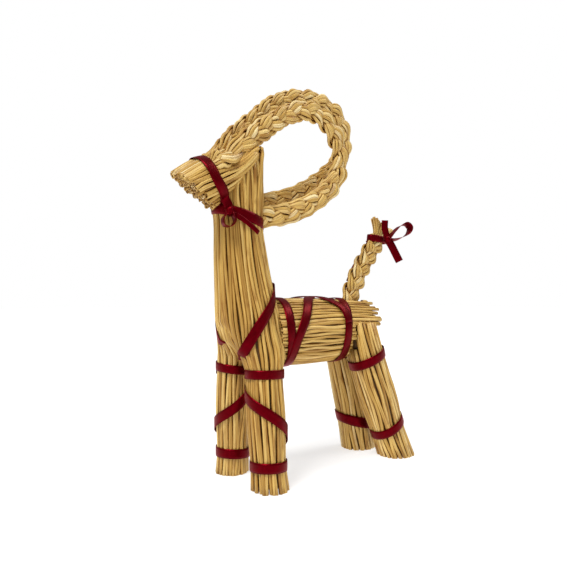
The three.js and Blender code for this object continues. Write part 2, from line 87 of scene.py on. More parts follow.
world = bpy.data.worlds.new("studio")
bpy.context.scene.world = world
world.use_nodes = True
tree = world.node_tree
room = tree.nodes["Background"]
room.inputs["Color"].default_value = (1.0, 1.0, 1.0, 1.0)
room.inputs["Strength"].default_value = 0.31
backdrop = tree.nodes.new("ShaderNodeBackground")
backdrop.inputs["Color"].default_value = (1.0, 1.0, 1.0, 1.0)
seen = tree.nodes.new("ShaderNodeLightPath")
either = tree.nodes.new("ShaderNodeMixShader")
tree.links.new(seen.outputs["Is Camera Ray"], either.inputs["Fac"])
tree.links.new(room.outputs["Background"], either.inputs[1])
tree.links.new(backdrop.outputs["Background"], either.inputs[2])
tree.links.new(either.outputs["Shader"], tree.nodes["World Output"].inputs["Surface"])
bpy.context.scene.view_settings.view_transform = "Standard"

sheet_mesh = bmesh.new()
bmesh.ops.create_grid(sheet_mesh, x_segments=1, y_segments=1, size=SHEET_SIZE / 2)
sheet_data = bpy.data.meshes.new("floor")
sheet_mesh.to_mesh(sheet_data)
sheet_mesh.free()
floor = bpy.data.objects.new("floor", sheet_data)
floor_paint = bpy.data.materials.new("floor")
floor_paint.use_nodes = True
floor_shader = floor_paint.node_tree.nodes["Principled BSDF"]
floor_shader.inputs["Base Color"].default_value = (0.5, 0.5, 0.5, 1.0)
floor_shader.inputs["Emission Color"].default_value = (1.0, 1.0, 1.0, 1.0)
floor_shader.inputs["Emission Strength"].default_value = 0.63
floor_shader.inputs["Roughness"].default_value = 0.9
floor_shader.inputs["Specular IOR Level"].default_value = 0.1
sheet_data.materials.append(floor_paint)
bpy.context.scene.collection.objects.link(floor)

# --- Front straws -------------------------------------------------------------------------------
# A thick bundle of rye straws stands upright as the neck. It parts below the chest into the two
# front legs, cut off level at the floor, and ribbons tied tight hold each bundle round.
STRAW_SIDES = 8
STRAW_WALL = 0.3
HOLLOW_DEPTH = 4.0
TO_FRAME = Matrix.Translation((0.00062, 0.02033, 0.0)) @ Matrix.Scale(0.001, 4)
chance = random.Random(11)


def spline(values, along, even=True):
    """The value at `along`, from 0 to 1, on a smooth course through values, which are evenly
    spaced or else are taken at their own spacing."""
    last = len(values) - 1
    place = min(max(along, 0.0), 1.0) * last
    index = min(int(place), last - 1)
    share = place - index
    start, end = values[index], values[index + 1]
    before = values[index - 1] if index > 0 else 2 * start - end
    after = values[index + 2] if index + 2 <= last else 2 * end - start
    slope_in, slope_out = (end - before) / 2, (after - start) / 2
    if not even:
        first, middle, final = (
            (b - a).length ** 0.5 for a, b in ((before, start), (start, end), (end, after))
        )
        rate = (end - start) / middle
        slope_in = middle * ((start - before) / first - (end - before) / (first + middle) + rate)
        slope_out = middle * (rate - (after - start) / (middle + final) + (after - end) / final)
    curve = 2 * start - 2 * end + slope_in + slope_out
    bend = -3 * start + 3 * end - 2 * slope_in - slope_out
    return ((curve * share + bend) * share + slope_in) * share + start


def smoothstep(value, low, high):
    share = min(max((value - low) / (high - low), 0.0), 1.0)
    return share * share * (3 - 2 * share)


class Bundle:
    """A course of ellipses: (x, y, z) of the middle, half width, half depth and tilt of each."""

    def __init__(self, stations):
        self.stations = [Vector(station) for station in stations]

    def point(self, along, x=0.0, y=0.0, lift=0.0):
        station = spline(self.stations, along)
        tilt = math.radians(station[5])
        up = y * (station[4] + lift)
        across = x * (station[3] + lift)
        return Vector((
            station[0] + across,
            station[1] + up * math.cos(tilt),
            station[2] + up * math.sin(tilt),
        ))

    def surface(self, along, angle, lift=0.0):
        return self.point(along, math.cos(angle), math.sin(angle), lift)

    def along_at(self, axis, value):
        """How far along the bundle its middle reaches `value` on an axis (0, 1 or 2)."""
        rising = self.point(1.0)[axis] > self.point(0.0)[axis]
        low, high = 0.0, 1.0
        for _ in range(24):
            middle = (low + high) / 2
            if (self.point(middle)[axis] > value) == rising:
                high = middle
            else:
                low = middle
        return (low + high) / 2


def straw_blank(sections, sides):
    """One straight straw of unit size, closed, with a hollow in each cut end.

    Its body runs from z 0 to 1; the floors of its hollows are marked with z -1 and z 2.
    """
    shape = bmesh.new()
    bmesh.ops.create_cone(
        shape, cap_ends=True, cap_tris=False, segments=sides, radius1=1.0, radius2=1.0,
        depth=1.0, matrix=Matrix.Translation((0.0, 0.0, 0.5)),
    )
    caps = [face for face in shape.faces if abs(face.normal.z) > 0.5]
    long_edges = [e for e in shape.edges if abs(e.verts[0].co.z - e.verts[1].co.z) > 0.5]
    if sections > 1:
        bmesh.ops.subdivide_edges(shape, edges=long_edges, cuts=sections - 1)
    for cap in caps:
        bmesh.ops.inset_region(shape, faces=[cap], thickness=STRAW_WALL)
        made = bmesh.ops.extrude_face_region(shape, geom=[cap])
        floor_verts = [v for v in made["geom"] if isinstance(v, bmesh.types.BMVert)]
        outward = 1.0 if floor_verts[0].co.z > 0.5 else -1.0
        bmesh.ops.translate(shape, verts=floor_verts, vec=(0.0, 0.0, outward))
        bmesh.ops.delete(shape, geom=[cap], context="FACES_ONLY")
    for face in shape.faces:
        face.smooth = True
    wrap = shape.loops.layers.uv.new("straw")
    for face in shape.faces:
        middle = face.calc_center_median()
        facing = math.atan2(middle.y, middle.x)
        for loop in face.loops:
            turn = math.atan2(loop.vert.co.y, loop.vert.co.x) - facing
            turn = (turn + math.pi) % (2 * math.pi) - math.pi
            loop[wrap].uv = ((facing + turn) / (2 * math.pi), min(max(loop.vert.co.z, 0.0), 1.0))
    mesh = bpy.data.meshes.new("straw_blank")
    shape.to_mesh(mesh)
    shape.free()
    return mesh


class Sheaf:
    """Straws that are laid one by one, and finished as one piece."""

    def __init__(self, sections, sides=STRAW_SIDES):
        self.blank = straw_blank(sections, sides)
        self.sections = sections
        self.places = []
        self.tones = []
        self.lengths = []

    def lay(self, course, radius, outward, tone=None, flat=1.0, slant=0.3):
        """Lays a straw along `course`, a function of 0 to 1. `flat` is how thin it is pressed in
        the direction `outward`, and `slant` how far from square its ends may be cut."""
        step = 1e-3
        rings = []
        length = 0.0
        previous = None
        for index in range(self.sections + 1):
            share = index / self.sections
            middle = course(share)
            tangent = (course(share + step) - course(share - step)).normalized()
            side = outward.cross(tangent).normalized()
            up = tangent.cross(side).normalized()
            length += (middle - previous).length if previous else 0.0
            previous = middle
            rings.append((middle, tangent, side, up))
        cut = [(chance.uniform(-slant, slant), chance.uniform(-slant, slant)) for _ in range(2)]
        depth = min(HOLLOW_DEPTH, length / 3)
        for vert in self.blank.vertices:
            x, y, z = vert.co
            ring = min(max(round(z * self.sections), 0), self.sections)
            middle, tangent, side, up = rings[ring]
            place = middle + side * (x * radius / flat ** 0.5) + up * (y * radius * flat)
            if z < 1e-4 or z > 1 - 1e-4:
                tilt = cut[0 if z < 0.5 else 1]
                place += tangent * (tilt[0] * x + tilt[1] * y) * radius
            if z < -0.5:
                place += tangent * depth
            if z > 1.5:
                place -= tangent * depth
            self.places.append(place)
        self.tones.append(chance.random() if tone is None else tone)
        self.lengths.append(length)

    def finish(self, name, nodes):
        """Makes one object of the straws, which stands for the named nodes."""
        mesh = bpy.data.meshes.new(name)
        pile = bmesh.new()
        for _ in self.tones:
            pile.from_mesh(self.blank)
        pile.to_mesh(mesh)
        pile.free()
        flat_places = [number for place in self.places for number in TO_FRAME @ place]
        mesh.vertices.foreach_set("co", flat_places)
        per_straw = len(self.blank.vertices)
        tone = mesh.attributes.new("tone", "FLOAT", "POINT")
        tone.data.foreach_set("value", [t for t in self.tones for _ in range(per_straw)])
        wrap = mesh.uv_layers["straw"].uv
        numbers = [0.0] * (2 * len(wrap))
        wrap.foreach_get("vector", numbers)
        corners = len(self.blank.loops)
        for index, length in enumerate(self.lengths):
            offset = chance.uniform(0.0, 40.0)
            for corner in range(2 * index * corners, 2 * (index + 1) * corners, 2):
                numbers[corner] += 3.0 * index
                numbers[corner + 1] = numbers[corner + 1] * length / 10 + offset
        wrap.foreach_set("vector", numbers)
        mesh.update()
        mesh.validate()
        piece = bpy.data.objects.new(name, mesh)
        bpy.context.scene.collection.objects.link(piece)
        mesh.materials.append(straw_finish)
        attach(piece, "root")
        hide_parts(*nodes)


def link(tree, *joins):
    for start, end in joins:
        tree.links.new(start, end)


def ramp(tree, stops):
    """A colour ramp through (position, colour)."""
    node = tree.nodes.new("ShaderNodeValToRGB")
    elements = node.color_ramp.elements
    while len(elements) < len(stops):
        elements.new(0.5)
    for element, (position, colour) in zip(elements, stops):
        element.position = position
        element.color = (*colour, 1.0)
    return node


def mix(tree, kind, factor, first, second):
    node = tree.nodes.new("ShaderNodeMix")
    node.data_type = "RGBA"
    node.blend_type = kind
    for socket, value in ((node.inputs[0], factor), (node.inputs[6], first), (node.inputs[7], second)):
        if hasattr(value, "links"):
            tree.links.new(value, socket)
        else:
            socket.default_value = value
    return node.outputs[2]


# Dry straw: each straw has its own shade from pale to brown gold, with fine streaks along it, a
# few brown stains and a soft waxy sheen. Deep in the gaps its colour is darkened to brown as
# painted shade.
straw_finish = bpy.data.materials.new("dry_straw")
straw_finish.use_nodes = True
tree = straw_finish.node_tree
shader = tree.nodes["Principled BSDF"]
tone = tree.nodes.new("ShaderNodeAttribute")
tone.attribute_name = "tone"
wrap = tree.nodes.new("ShaderNodeUVMap")
wrap.uv_map = "straw"
streak_map = tree.nodes.new("ShaderNodeMapping")
streak_map.inputs["Scale"].default_value = (14.0, 0.35, 1.0)
stain_map = tree.nodes.new("ShaderNodeMapping")
stain_map.inputs["Scale"].default_value = (1.3, 0.45, 1.0)
streaks = tree.nodes.new("ShaderNodeTexNoise")
streaks.inputs["Scale"].default_value = 1.0
streaks.inputs["Detail"].default_value = 4.0
stains = tree.nodes.new("ShaderNodeTexNoise")
stains.inputs["Scale"].default_value = 1.0
stains.inputs["Detail"].default_value = 5.0
shade = ramp(tree, [
    (0.0, (0.44, 0.24, 0.045)),
    (0.12, (0.57, 0.34, 0.075)),
    (0.5, (0.73, 0.475, 0.125)),
    (0.85, (0.88, 0.63, 0.22)),
    (1.0, (1.0, 0.82, 0.43)),
])
streak_shade = ramp(tree, [(0.35, (0.56, 0.42, 0.27)), (0.58, (1.0, 1.0, 1.0))])
stain_shade = ramp(tree, [(0.33, (0.5, 0.33, 0.2)), (0.45, (1.0, 1.0, 1.0))])
link(
    tree,
    (wrap.outputs["UV"], streak_map.inputs["Vector"]),
    (wrap.outputs["UV"], stain_map.inputs["Vector"]),
    (streak_map.outputs["Vector"], streaks.inputs["Vector"]),
    (stain_map.outputs["Vector"], stains.inputs["Vector"]),
    (tone.outputs["Fac"], shade.inputs["Fac"]),
    (streaks.outputs["Fac"], streak_shade.inputs["Fac"]),
    (stains.outputs["Fac"], stain_shade.inputs["Fac"]),
)
streaked = mix(tree, "MULTIPLY", 0.9, shade.outputs["Color"], streak_shade.outputs["Color"])
straw_colour = mix(tree, "MULTIPLY", 0.7, streaked, stain_shade.outputs["Color"])
# Painted shade: ambient occlusion darkens the base colour to near black-brown deep in the gaps between
# straws, where shade falls.
crevice = tree.nodes.new("ShaderNodeAmbientOcclusion")
crevice.samples = 6
crevice.only_local = True
crevice.inputs["Distance"].default_value = 0.0036
painted_gap_shade = ramp(tree, [(0.25, (0.07, 0.02, 0.002)), (0.62, (0.66, 0.46, 0.2)), (0.85, (1.0, 1.0, 1.0))])
link(tree, (crevice.outputs["AO"], painted_gap_shade.inputs["Fac"]))
straw_colour = mix(tree, "MULTIPLY", 1.0, straw_colour, painted_gap_shade.outputs["Color"])
bump = tree.nodes.new("ShaderNodeBump")
bump.inputs["Strength"].default_value = 0.5
bump.inputs["Distance"].default_value = 0.0002
link(
    tree,
    (straw_colour, shader.inputs["Base Color"]),
    (streaks.outputs["Fac"], bump.inputs["Height"]),
    (bump.outputs["Normal"], shader.inputs["Normal"]),
)
shader.inputs["Roughness"].default_value = 0.45
shader.inputs["Specular IOR Level"].default_value = 0.3

NECK_FOOT_Z = 86.0
NECK_BEND_Z = 190.0
STRAW_TOP_Z = 232.0
neck = Bundle([
    (0, -66.5, NECK_FOOT_Z, 22, 17, 0),
    (0, -66.5, 99, 25.5, 21, 0),
    (0, -67.1, 115, 25.2, 23.4, 0),
    (0, -70.3, 138, 21.6, 21.3, 0),
    (0, -73.3, 162, 19.2, 19.2, 0),
    (0, -75.7, NECK_BEND_Z, 17.7, 17.6, 0),
    (0, -76.3, 222, 17, 24, 45),
])


def front_leg(side, stations):
    return Bundle([(side * x, y, height, wide, deep, 0) for height, x, y, wide, deep in stations])


LEG_TOP_Z = 112.0
front_legs = {
    "left": front_leg(1, [
        (0, 23.8, -64, 13.6, 13.6),
        (18, 23.4, -65.5, 12.4, 12.4),
        (50, 21.6, -66.1, 13.7, 13.7),
        (80, 18.3, -65.3, 12.8, 13.5),
        (98, 15.2, -63.5, 13.4, 19.4),
        (LEG_TOP_Z, 13, -65.8, 12, 18.8),
    ]),
    "right": front_leg(-1, [
        (0, 25.9, -65, 12.9, 12.9),
        (18, 23.9, -65.5, 12.2, 12.2),
        (50, 21.2, -66.3, 13.8, 13.8),
        (80, 17.3, -67.7, 13.2, 13.7),
        (98, 14, -67.3, 13, 16.5),
        (LEG_TOP_Z, 12.5, -67.5, 11.5, 17.5),
    ]),
}


def wander(size, waves=2.2):
    """A slow sideways wander for one straw, as a function of 0 to 1."""
    phase, rate = chance.uniform(0, 2 * math.pi), chance.uniform(0.6, 1.2) * waves
    return lambda share: size * math.sin(phase + rate * 2 * math.pi * share)


CORE_STEPS = 14


def core(name, nodes, bundle, start, end, shrink):
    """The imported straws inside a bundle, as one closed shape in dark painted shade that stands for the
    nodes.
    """
    shape = bmesh.new()
    made = bmesh.ops.create_circle(shape, cap_ends=True, segments=20, radius=1.0)
    ring = made["verts"]
    rings = [ring]
    face = next(iter(shape.faces))
    for _ in range(CORE_STEPS):
        out = bmesh.ops.extrude_face_region(shape, geom=[face])
        if len(rings) > 1:
            bmesh.ops.delete(shape, geom=[face], context="FACES_ONLY")
        face = next(item for item in out["geom"] if isinstance(item, bmesh.types.BMFace))
        ring = [item for item in out["geom"] if isinstance(item, bmesh.types.BMVert)]
        rings.append(ring)
    for index, ring in enumerate(rings):
        along = start + (end - start) * index / CORE_STEPS
        for vert in ring:
            vert.co = bundle.point(along, vert.co.x, vert.co.y, -shrink)
    bmesh.ops.recalc_face_normals(shape, faces=shape.faces)
    bmesh.ops.transform(shape, matrix=TO_FRAME, verts=shape.verts)
    mesh = bpy.data.meshes.new(name)
    shape.to_mesh(mesh)
    shape.free()
    piece = bpy.data.objects.new(name, mesh)
    bpy.context.scene.collection.objects.link(piece)
    mesh.materials.append(shadow_straw)
    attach(piece, "root")
    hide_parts(*nodes)


# The straws inside a bundle, seen only through the gaps between the outer ones, coloured
# near black-brown as painted shade.
shadow_straw = bpy.data.materials.new("inner_straw")
shadow_straw.use_nodes = True
tree = shadow_straw.node_tree
shader = tree.nodes["Principled BSDF"]
place = tree.nodes.new("ShaderNodeTexCoord")
grain = tree.nodes.new("ShaderNodeTexNoise")
grain.inputs["Scale"].default_value = 300.0
# Painted shade: the inner straws are coloured near black-brown, far darker than any straw's own colour.
grain_in_painted_shade = ramp(tree, [(0.3, (0.05, 0.02, 0.004)), (0.7, (0.14, 0.065, 0.015))])
link(
    tree,
    (place.outputs["Object"], grain.inputs["Vector"]),
    (grain.outputs["Fac"], grain_in_painted_shade.inputs["Fac"]),
    (grain_in_painted_shade.outputs["Color"], shader.inputs["Base Color"]),
)
shader.inputs["Roughness"].default_value = 0.8

# Round each leg the straws are placed by (degrees from the outer side, how deep they lie, height
# at which they have reached the neck's outside). Some fill the fork, and some sweep down into it.
LEG_STRAWS = 31
FORK_LOW, FORK_HIGH, SWEEP_HIGH = 84.5, 118.0, 106.0
FORK_STRAWS = [(-97 - 9 * index, 3.6, FORK_HIGH) for index in range(9)]
SWEEPING_STRAWS = [(-126 - 7.5 * index, 1.3, SWEEP_HIGH) for index in range(8)]
OUTER_STRAWS = [
    (-180 + 360 * (index + 0.5) / LEG_STRAWS, 0.0, FORK_HIGH) for index in range(LEG_STRAWS)
]
INNER_SIDE = 155
NECK_FAN = 0.58
STRAW_TONES = 0.78
for side, sign in (("left", 1), ("right", -1)):
    leg = front_legs[side]
    sheaf = Sheaf(sections=36)
    for degrees, deeper, fork_high in OUTER_STRAWS + FORK_STRAWS + SWEEPING_STRAWS:
        angle = math.radians(degrees)
        reaches_neck = abs(degrees) < INNER_SIDE or deeper > 0
        radius = chance.uniform(1.3, 1.75)
        sway = wander(0.07)
        inset = radius + chance.uniform(-0.3, 0.9) + deeper
        top_z = STRAW_TOP_Z if reaches_neck else chance.uniform(86.0, 92.0)

        def course(share, angle=angle, sway=sway, inset=inset, top_z=top_z, fork_high=fork_high):
            height = share * top_z
            turned = angle + sway(share)
            low_along = leg.along_at(2, min(max(height, 0.0), LEG_TOP_Z))
            low = leg.surface(low_along, turned if sign > 0 else math.pi - turned, -inset)
            low.z = height
            if height < FORK_LOW:
                return low
            up_angle = turned * NECK_FAN
            up_angle = up_angle if sign > 0 else math.pi - up_angle
            if height < NECK_BEND_Z:
                along = neck.along_at(2, max(height, NECK_FOOT_Z))
            else:
                start = neck.along_at(2, NECK_BEND_Z)
                along = start + (1 - start) * (height - NECK_BEND_Z) / (STRAW_TOP_Z - NECK_BEND_Z)
            high = neck.surface(along, up_angle, -inset)
            return low.lerp(high, smoothstep(height, FORK_LOW, fork_high))

        tone = chance.random() * STRAW_TONES
        sheaf.lay(course, radius, Vector((math.cos(angle), math.sin(angle), 0.0)), tone)
    sheaf.finish(f"front_{side}_straws", ["front_bundle"])
    core(f"front_{side}_core", ["front_bundle"], leg, start=0.04, end=0.86, shrink=3.2)
core("neck_core", ["front_bundle"], neck, start=0.2, end=0.97, shrink=4.5)

# --- Head straws --------------------------------------------------------------------------------
# The top of the neck's bundle is folded forward and down over itself. A ribbon ring ties the fold
# in, and the straws are cut off slantwise to make the muzzle, so that their hollow ends show.
head = Bundle([
    (0, -63.5, 239, 10, 4, 130),
    (0, -72, 230.5, 17.4, 7.5, 130),
    (0, -86, 218, 18.4, 11.5, 126),
    (0, -101.3, 211, 18, 18.2, 109),
    (0, -117, 201.6, 17.4, 17.4, 130),
])
MUZZLE_PLACE = Vector((0.0, -110.3, 204.6))
MUZZLE_FACING = Vector((0.292, 0.548, 0.783))
HEAD_STRAWS = 34
HEAD_PITCH = 3.2
FOLD_STRAWS = 12


def packed(reach, pitch):
    """Places in the unit disc for straws that fill a circle, in rows like stacked pipes."""
    row_height = pitch * 0.87
    rows = int(reach / row_height) + 1
    columns = int(reach / pitch) + 1
    for row in range(-rows, rows + 1):
        y = row * row_height + chance.uniform(-0.3, 0.3)
        shift = (row % 2) * pitch / 2
        for column in range(-columns, columns + 1):
            x = column * pitch + shift + chance.uniform(-0.3, 0.3)
            if (x / reach) ** 2 + (y / reach) ** 2 < 1:
                yield x / reach, y / reach


def along_to_plane(course, place, facing, extra):
    """How far along a course, from 0 to 1, it meets a plane, `extra` short of it or beyond."""
    low, high = 0.0, 1.0
    for _ in range(20):
        middle = (low + high) / 2
        if (course(middle) - place).dot(facing) + extra > 0:
            low = middle
        else:
            high = middle
    return low


def part_of(course, start, end):
    """The stretch of a course from `start` to `end`."""
    return lambda share: course(start + (end - start) * share)


sheaf = Sheaf(sections=12)
for index in range(HEAD_STRAWS):
    angle = 2 * math.pi * (index + 0.5) / HEAD_STRAWS
    radius = chance.uniform(1.35, 1.75)
    inset = radius + chance.uniform(-0.3, 0.6)
    sway = wander(0.05)

    def on_head(share, angle=angle, inset=inset, sway=sway):
        start = 0.02 if math.sin(angle) > 0.2 else 0.12
        return head.surface(start + (1 - start) * share, angle + sway(share), -inset)

    end = along_to_plane(on_head, MUZZLE_PLACE, MUZZLE_FACING, chance.uniform(-1.5, 1.5))
    outward = Vector((math.cos(angle), 0.2, math.sin(angle)))
    sheaf.lay(part_of(on_head, 0.0, end), radius, outward, slant=0.5)
for x, y in packed(14.5, HEAD_PITCH):
    radius = chance.uniform(1.35, 1.65)
    course = part_of(lambda share, x=x, y=y: head.point(share, 0.82 * x, 0.82 * y), 0.62, 1.0)
    end = along_to_plane(course, MUZZLE_PLACE, MUZZLE_FACING, chance.uniform(-1.2, 2.5))
    sheaf.lay(part_of(course, 0.0, end), radius, Vector((1, 0, 0)), slant=0.5)
for index in range(FOLD_STRAWS):
    across = -1 + 2 * (index + 0.5) / FOLD_STRAWS
    radius = chance.uniform(1.6, 1.9)
    back = math.acos(across)
    route = [
        neck.surface(neck.along_at(2, 180.0), back, -radius),
        neck.surface(neck.along_at(2, 200.0), back, -radius + 0.6),
        Vector((15.5 * across, -61.0 - 5 * across ** 2, 228.0 + chance.uniform(-1, 1))),
        Vector((15.0 * across, -62.0 - 3 * across ** 2, 237.5)),
        Vector((15.0 * across, -67.5, 238.8 - 1.5 * across ** 2)),
        head.surface(0.3, back, -radius),
        head.surface(0.5, back, -radius),
    ]

    def over_the_fold(share, route=route):
        return spline(route, share, even=False)

    sheaf.lay(over_the_fold, radius, Vector((0, 1, 0.2)))
sheaf.finish("head_straws", ["front_bundle"])
core("head_core", ["front_bundle"], head, start=0.1, end=0.68, shrink=3.0)

# --- Body ---------------------------------------------------------------------------------------
# A level bundle butted against the back of the front straws and tied to them. Its upper straws
# are longer, and run on over the hind legs; all its ends are cut with shears, a little unevenly.
BODY_MIDDLE_Z = 106.7
BODY_RADIUS = 25.5
LOWER_END_Y = 17.2
UPPER_END_Y = 46.5
FRONT_END_Y = -54.0
UPPER_FROM_Z = 112.5
body = Bundle([
    (0, UPPER_END_Y, BODY_MIDDLE_Z - 1, 26, 24.6, 77),
    (0, LOWER_END_Y, BODY_MIDDLE_Z, 25.3, 25.2, 90),
    (0, -20, BODY_MIDDLE_Z, 25.8, 25.8, 90),
    (0, FRONT_END_Y, BODY_MIDDLE_Z, BODY_RADIUS, 25, 90),
])
BODY_STRAWS = 58
INNER_FROM_Y = 1.0
TAIL_POCKET_X = 6.0
TAIL_POCKET_Y = (21.0, 40.0)
TAIL_POCKET_Z = 118.0


def body_course(x, y, start_y, end_y):
    """The course of a straw along the body, which strays a little where its rear end is free."""
    first, last = body.along_at(1, start_y), body.along_at(1, end_y)
    sway = wander(0.6)
    flare = Vector((x, 0.0, y)) * chance.uniform(-0.6, 1.2)
    flare.z += chance.uniform(-1.2, 1.0)

    def course(share):
        place = body.point(first + (last - first) * share, x, y)
        loose = smoothstep(place.y, 12.0, 50.0)
        return place + Vector((sway(share) * y, 0.0, -sway(share) * x)) + flare * loose

    return course


def lay_body_straw(sheaf, x, y, radius, front_y):
    """One straw of the body, in two lengths where the tail's pocket interrupts it."""
    at = body.point(0.3, x, y)
    upper = at.z > UPPER_FROM_Z
    if upper:
        rear_y = UPPER_END_Y - 9.0 * chance.random() ** 1.5
    else:
        rear_y = LOWER_END_Y + chance.uniform(-2.2, 1.5)
    outward = Vector((x, 0.0, y))
    if abs(at.x) < TAIL_POCKET_X and at.z > TAIL_POCKET_Z:
        if front_y < TAIL_POCKET_Y[0]:
            end = TAIL_POCKET_Y[0] + chance.uniform(-1, 1)
            sheaf.lay(body_course(x, y, front_y, end), radius, outward)
        front_y = TAIL_POCKET_Y[1] + chance.uniform(-1, 1)
    sheaf.lay(body_course(x, y, front_y, rear_y), radius, outward)


sheaf = Sheaf(sections=10)
for index in range(BODY_STRAWS):
    angle = 2 * math.pi * (index + 0.5) / BODY_STRAWS + chance.uniform(-0.02, 0.02)
    radius = chance.uniform(1.15, 1.8)
    reach = 1 - (radius + chance.uniform(-0.2, 0.7)) / BODY_RADIUS
    front_y = FRONT_END_Y - chance.uniform(0.0, 2.0)
    lay_body_straw(sheaf, reach * math.cos(angle), reach * math.sin(angle), radius, front_y)
sheaf.finish("body_straws", ["body_bundle"])
sheaf = Sheaf(sections=4)
for x, y in packed(22.0, 3.4):
    lay_body_straw(sheaf, 0.87 * x, 0.87 * y, chance.uniform(1.4, 1.7), INNER_FROM_Y)
sheaf.finish("body_inner_straws", ["body_bundle"])
core("body_core", ["body_bundle"], body, start=body.along_at(1, 8.0), end=0.97, shrink=3.4)

# --- Hind legs ----------------------------------------------------------------------------------
# Two bundles that lean back from the body's rear, cut level at the floor. Their tops are cut
# roughly and pushed up under the body's long upper straws.
HIND_STRAWS = 28
HIND_TOP_Z = 115.0
BODY_CLEARANCE = 1.0
REAR_CLEARANCE = 1.8


def hind_leg(side, stations, lean):
    return Bundle([
        (side * x, y, height, wide, deep, slope * lean)
        for height, x, y, wide, deep, slope in stations
    ])


hind_legs = {
    "left": hind_leg(1, [
        (0, 18, 70.6, 15.4, 16.2, 0),
        (24, 17.1, 60.3, 14.1, 14.1, 1),
        (50, 17.5, 49.3, 15.9, 15.9, 1),
        (76, 16.9, 39.2, 15.1, 15.1, 1),
        (111.4, 14.5, 29.3, 14, 15, 0),
        (119.0, 14, 28.0, 13.6, 14.6, 0),
    ], 21),
    "right": hind_leg(-1, [
        (0, 18, 61.1, 14.9, 15.2, 0),
        (24, 17.1, 55, 14.2, 14.2, 1),
        (50, 16.4, 48, 14.2, 14.2, 1),
        (76, 15.7, 41, 13.7, 13.7, 1),
        (111.4, 13.9, 31.5, 13.3, 14, 0),
        (119.0, 13.5, 29.4, 13.0, 13.6, 0),
    ], 15),
}


def clear_of_body(place):
    """Whether a place is outside the body's lower straws."""
    far_out = math.hypot(place.x, place.z - BODY_MIDDLE_Z) >= BODY_RADIUS + BODY_CLEARANCE
    return far_out or place.y >= LOWER_END_Y + REAR_CLEARANCE


def hind_end(course):
    """How far up a straw can run before it meets the body, from 0 to 1."""
    end = 1.0
    while end > 0.3 and not (clear_of_body(course(end)) and course(end).z < HIND_TOP_Z):
        end -= 0.01
    return end


for side in ("left", "right"):
    leg = hind_legs[side]
    sheaf = Sheaf(sections=9)
    for index in range(HIND_STRAWS):
        angle = 2 * math.pi * (index + 0.5) / HIND_STRAWS
        radius = chance.uniform(1.4, 1.85)
        inset = radius + chance.uniform(-0.3, 0.8)
        sway = wander(0.07)

        def course(share, angle=angle, inset=inset, sway=sway, leg=leg):
            return leg.surface(share, angle + sway(share), -inset)

        end = hind_end(course) - chance.uniform(0.0, 0.05)
        sheaf.lay(part_of(course, 0.0, end), radius, Vector((math.cos(angle), math.sin(angle), 0.0)))
    for x, y in packed(11.0, 3.6):
        def course(share, x=0.75 * x, y=0.75 * y, leg=leg):
            return leg.point(share, x, y)

        end = hind_end(course) - chance.uniform(0.0, 0.08)
        radius = chance.uniform(1.6, 1.8)
        sheaf.lay(part_of(course, max(end - 0.3, 0.5), end), radius, Vector((1, 0, 0)))
        sheaf.lay(part_of(course, 0.0, 0.15), radius, Vector((1, 0, 0)), slant=0.0)
    sheaf.finish(f"hind_{side}_straws", [f"rear_{side}_leg"])
    core(f"hind_{side}_core", [f"rear_{side}_leg"], leg, start=0.05, end=0.8, shrink=3.2)

# --- Plaited horns ------------------------------------------------------------------------------
# Three strands of flattened straws, plaited flat while damp and bent into a loop. They start under
# the ribbon ring on the forehead and their ends are tucked in behind the neck.
HORN_SPREAD = 9.3
STRAND_ACROSS, STRAND_OUT = 0.24, 0.23
STRAND_HALF_WIDTH, STRAND_HALF_THICKNESS = 0.29, 0.33
STRAND_STRAWS = [(-0.8, 0.25), (-0.28, 0.62), (0.28, 0.64), (0.8, 0.27), (-0.45, -0.5), (0.45, -0.5)]
STRAND_PLUMPNESS = 0.24
ROUTE_SAMPLES = 300


class Plait:
    """A flat plait of three strands along a route in an upright plane that faces +X."""

    def __init__(self, x, route, width=15.0, thickness=9.0, period=45.0):
        points = [Vector((x, y, z)) for y, z in route]
        places = [spline(points, i / ROUTE_SAMPLES, even=False) for i in range(ROUTE_SAMPLES + 1)]
        reach = [0.0]
        for start, end in zip(places, places[1:]):
            reach.append(reach[-1] + (end - start).length)
        self.places, self.reach = places, reach
        self.length = reach[-1]
        self.width, self.thickness = width, thickness
        self.turns = self.length / period

    def middle(self, along):
        """The place and direction of the plait's middle line, run on straight past its ends."""
        inside = min(max(along, 0.0), 1.0) * self.length
        low, high = 0, ROUTE_SAMPLES
        while high - low > 1:
            index = (low + high) // 2
            if self.reach[index] > inside:
                high = index
            else:
                low = index
        share = (inside - self.reach[low]) / (self.reach[high] - self.reach[low])
        around = max(low - 4, 0), min(high + 4, ROUTE_SAMPLES)
        tangent = (self.places[around[1]] - self.places[around[0]]).normalized()
        place = self.places[low].lerp(self.places[high], share)
        return place + tangent * ((along * self.length) - inside), tangent

    def point(self, along, across, out, ahead=0.0):
        place, tangent = self.middle(along)
        side = Vector((1.0, 0.0, 0.0))
        widthways = side.cross(tangent).normalized()
        return place + widthways * across + side * out + tangent * ahead

    def strand(self, along, which, across, out):
        """A place in one of the three strands, which lie side by side before the plait starts."""
        phase = 2 * math.pi * (max(along, 0.0) * self.turns + which / 3)
        middle = STRAND_ACROSS * self.width * math.sin(phase)
        slope = STRAND_ACROSS * self.width * math.cos(phase) * 2 * math.pi * self.turns / self.length
        braided = smoothstep(along, 0.0, 0.03)
        lean = math.atan(slope) * braided
        height = STRAND_OUT * self.thickness * math.sin(2 * phase) * braided
        swell = 1 - STRAND_PLUMPNESS * math.cos(4 * phase) * braided
        across, out = across * swell, out * (0.2 + 0.8 * braided)
        return self.point(along, middle + across * math.cos(lean), height + out, -across * math.sin(lean))


PLAIT_SIDE = Vector((1.0, 0.0, 0.0))
STRAW_FLATNESS = 0.58


